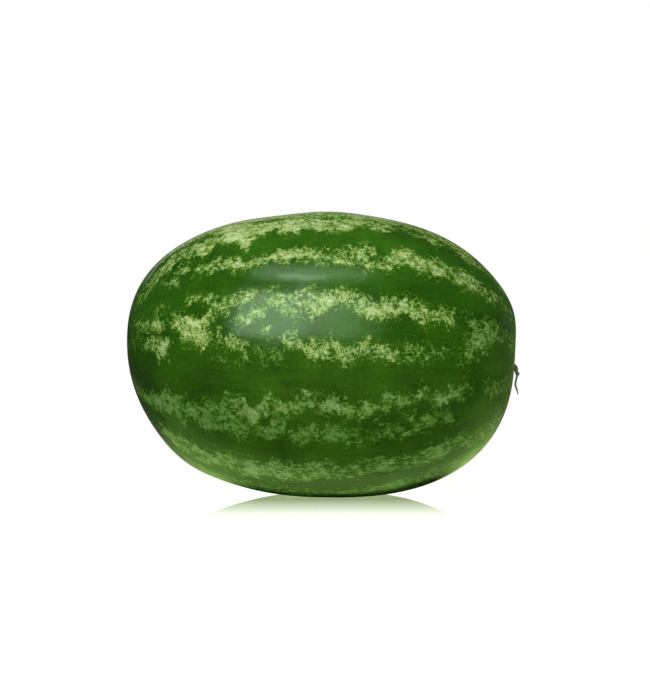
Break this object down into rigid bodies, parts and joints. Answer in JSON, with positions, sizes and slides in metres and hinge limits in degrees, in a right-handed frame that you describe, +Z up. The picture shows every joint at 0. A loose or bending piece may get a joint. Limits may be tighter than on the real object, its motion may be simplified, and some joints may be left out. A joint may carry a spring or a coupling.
{
  "type": "watermelon",
  "caption": "Whole oval watermelon lying on its side, blunt at both ends, with a dry curled stalk end in a shallow hollow and a small flat resting spot underneath.",
  "frame": {"origin": "on the surface the fruit lies on, in its flat resting spot, below the middle of the fruit", "axes": "+X along the fruit's long axis towards the stalk, +Z up, +Y across the fruit"},
  "size_m": [0.3322, 0.2402, 0.2406],
  "materials": {
    "rind": "waxy striped watermelon rind: dark green with ragged pale yellow-green stripes from pole to pole, soft gloss",
    "dry_stalk": "dried, shrivelled vine stalk, olive to grey-brown, dull and ribbed"
  },
  "bodies": {
    "root": {"melon": "rind", "stem": "dry_stalk"}
  },
  "joints": []
}
